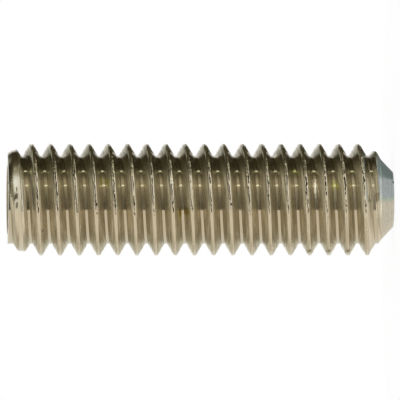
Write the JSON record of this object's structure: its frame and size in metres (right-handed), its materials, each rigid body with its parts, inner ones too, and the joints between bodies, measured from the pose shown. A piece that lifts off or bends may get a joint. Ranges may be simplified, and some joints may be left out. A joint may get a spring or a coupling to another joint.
{
  "type": "grub set screw",
  "caption": "Headless stainless steel set screw with a right-hand metric thread over its whole length, a hexagon socket in one end and a cup point on the other.",
  "frame": {"origin": "centre of the cup point's rim, on which the screw stands", "axes": "+Z along the screw's axis from the cup point up to the socket end, and +X through a corner of the hexagon"},
  "size_m": [0.0058, 0.0058, 0.0201],
  "materials": {
    "stainless_steel": "rolled thread, turned ends, bare"
  },
  "bodies": {
    "root": {"set_screw": "stainless_steel"}
  },
  "joints": []
}
